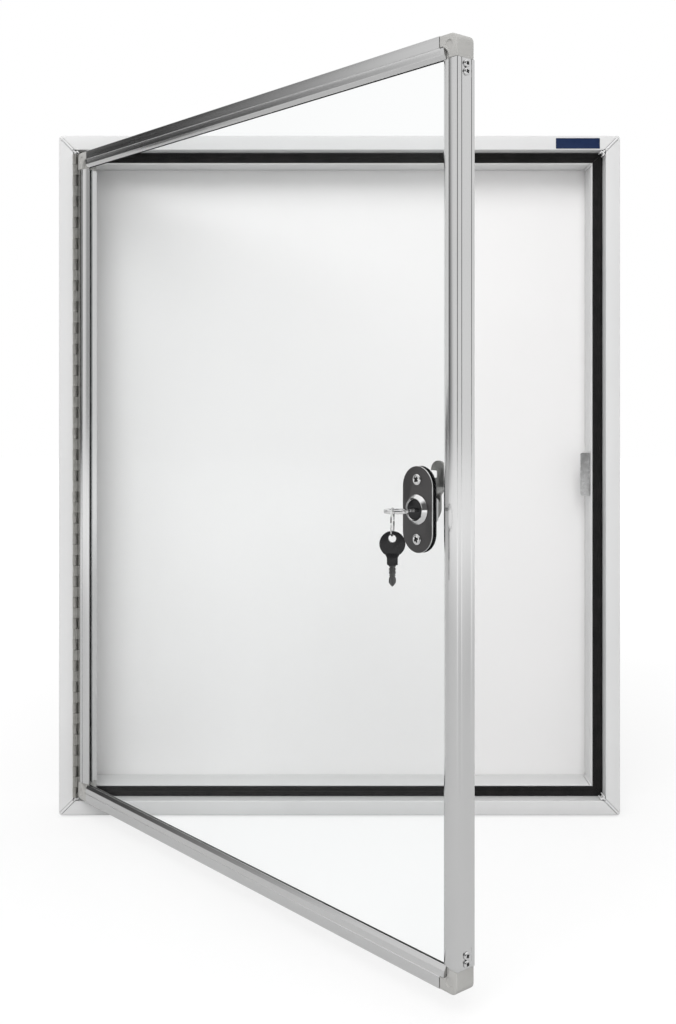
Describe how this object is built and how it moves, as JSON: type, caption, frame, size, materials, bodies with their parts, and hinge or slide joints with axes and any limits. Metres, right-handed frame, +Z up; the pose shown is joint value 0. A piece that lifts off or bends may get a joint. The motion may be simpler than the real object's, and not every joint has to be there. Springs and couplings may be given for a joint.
{
  "type": "lockable notice board",
  "caption": "Shallow wall notice board with a white magnetic back panel, aluminium frame and a glazed, lockable door standing open, with keys in its cam lock.",
  "frame": {"origin": "centre of the backing board's rear face, on the wall plane", "axes": "+X to the viewer's right, +Y into the wall, +Z up; the front faces -Y"},
  "size_m": [0.545, 0.4414, 0.66],
  "materials": {
    "frame_aluminium": "satin anodised",
    "door_aluminium": "satin anodised",
    "corner_plastic": "matte warm grey",
    "gasket_rubber": "matte black",
    "white_enamel": "gloss white",
    "board": "plain grey",
    "zinc_steel": "zinc plated",
    "hinge_steel": "nickel plated",
    "bright_chrome": "polished",
    "black_lacquer": "gloss black",
    "clear_acrylic": "clear",
    "cam_steel": "plated steel",
    "key_nickel": "nickel plated",
    "black_plastic": "gloss black"
  },
  "bodies": {
    "cabinet": {"frame_rail_top": "frame_aluminium", "frame_rail_bottom": "frame_aluminium", "frame_stile_left": "frame_aluminium", "frame_stile_right": "frame_aluminium", "frame_corner_top_left": "frame_aluminium", "frame_corner_top_right": "frame_aluminium", "frame_corner_bottom_right": "frame_aluminium", "frame_corner_bottom_left": "frame_aluminium", "gasket_top": "gasket_rubber", "gasket_bottom": "gasket_rubber", "gasket_left": "gasket_rubber", "gasket_right": "gasket_rubber", "magnetic_sheet": "white_enamel", "backing_board": "board", "strike_plate": "zinc_steel", "strike_screw_upper": "zinc_steel", "strike_screw_lower": "zinc_steel", "hinge_leaf_frame": "hinge_steel", "hinge_pin": "hinge_steel"},
    "door": {"door_rail_top": "door_aluminium", "door_rail_bottom": "door_aluminium", "door_stile_hinge": "door_aluminium", "door_stile_lock": "door_aluminium", "door_corner_top_hinge": "corner_plastic", "door_corner_top_lock": "corner_plastic", "door_corner_bottom_lock": "corner_plastic", "door_corner_bottom_hinge": "corner_plastic", "corner_screw_top_outer": "bright_chrome", "corner_screw_top_inner": "bright_chrome", "corner_screw_bottom_outer": "bright_chrome", "corner_screw_bottom_inner": "bright_chrome", "glazing_pane": "clear_acrylic", "glazing_seal": "gasket_rubber", "hinge_leaf_door": "hinge_steel", "lock_front_plate": "black_lacquer", "lock_back_plate": "black_lacquer", "lock_screw_upper": "bright_chrome", "lock_screw_lower": "bright_chrome", "lock_housing": "bright_chrome", "lock_nut": "zinc_steel"},
    "plug": {"lock_plug": "black_lacquer", "lock_cam": "cam_steel", "cam_screw": "zinc_steel"},
    "key": {"key_in_lock": "key_nickel"},
    "ring": {"key_ring": "bright_chrome"},
    "spare_key": {"spare_key_head": "black_plastic", "spare_key_blade": "key_nickel"}
  },
  "joints": [
    {"name": "door_hinge", "type": "hinge", "parent": "cabinet", "child": "door", "pos_m": [-0.2561, -0.0547, 0], "axis": [0, 0, -1], "range_deg": [-49.66, 120.34]},
    {"name": "lock_turn", "type": "hinge", "parent": "door", "child": "plug", "pos_m": [0.04879, -0.41062, 0], "axis": [0.7622, 0.6473, 0], "range_deg": [0, 90]},
    {"name": "key_slide", "type": "slide", "parent": "plug", "child": "key", "axis": [-0.7622, -0.6473, 0], "range_m": [0, 0.025]},
    {"name": "ring_swing", "type": "hinge", "parent": "key", "child": "ring", "pos_m": [0.0342, -0.42631, 0.0012], "axis": [0.9881, -0.154, 0], "range_deg": [-8, 8]},
    {"name": "spare_key_swing", "type": "hinge", "parent": "ring", "child": "spare_key", "pos_m": [0.0342, -0.42631, -0.01557], "axis": [0.154, 0.9881, 0], "range_deg": [-40, 40]}
  ]
}
